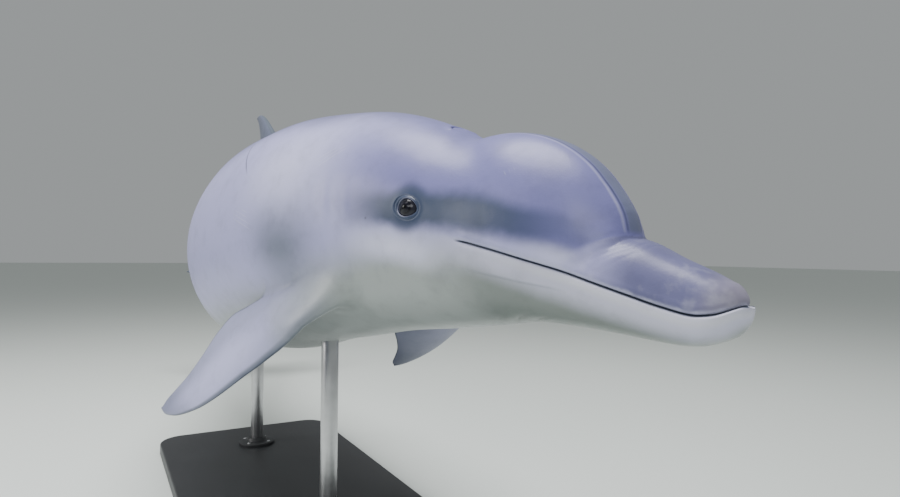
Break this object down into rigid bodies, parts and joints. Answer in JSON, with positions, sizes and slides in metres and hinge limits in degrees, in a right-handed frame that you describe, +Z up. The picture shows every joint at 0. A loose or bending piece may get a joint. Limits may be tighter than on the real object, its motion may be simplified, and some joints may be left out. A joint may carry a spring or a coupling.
{
  "type": "bottlenose dolphin",
  "caption": "Life-size swimming bottlenose dolphin, gently bent, mouth closed and flippers swept back, held over a flat base by two short rods.",
  "frame": {"origin": "middle of the stand's flat underside", "axes": "+X the way the dolphin heads, +Y its left side, +Z up"},
  "size_m": [2.5633, 0.8216, 0.9395],
  "materials": {
    "beak_skin": "smooth damp skin, mid grey",
    "head_skin": "smooth damp skin, lilac grey",
    "jaw_skin": "smooth damp skin, pale grey",
    "back_skin": "smooth damp skin, blue grey above and pale below",
    "fin_skin": "smooth damp skin, dark grey",
    "eye": "wet dark brown, very glossy",
    "stand_board": "board under dark satin paint",
    "stand_rod": "brushed along its length",
    "stand_flange": "dark satin paint"
  },
  "bodies": {
    "root": {"beak_upper": "beak_skin", "melon": "head_skin", "lower_jaw": "jaw_skin", "head": "head_skin", "blowhole_flap": "back_skin", "eye_left": "eye", "eye_right": "eye", "neck": "head_skin", "chest": "back_skin", "trunk_middle": "back_skin", "trunk_rear": "back_skin", "tail_stock_front": "back_skin", "tail_stock_rear": "back_skin", "dorsal_fin": "fin_skin", "fluke_left": "fin_skin", "fluke_right": "fin_skin", "flipper_left": "fin_skin", "flipper_right": "fin_skin", "stand_base": "stand_board", "stand_rod_front": "stand_rod", "stand_rod_rear": "stand_rod", "stand_flange_front": "stand_flange", "stand_flange_rear": "stand_flange"}
  },
  "joints": []
}
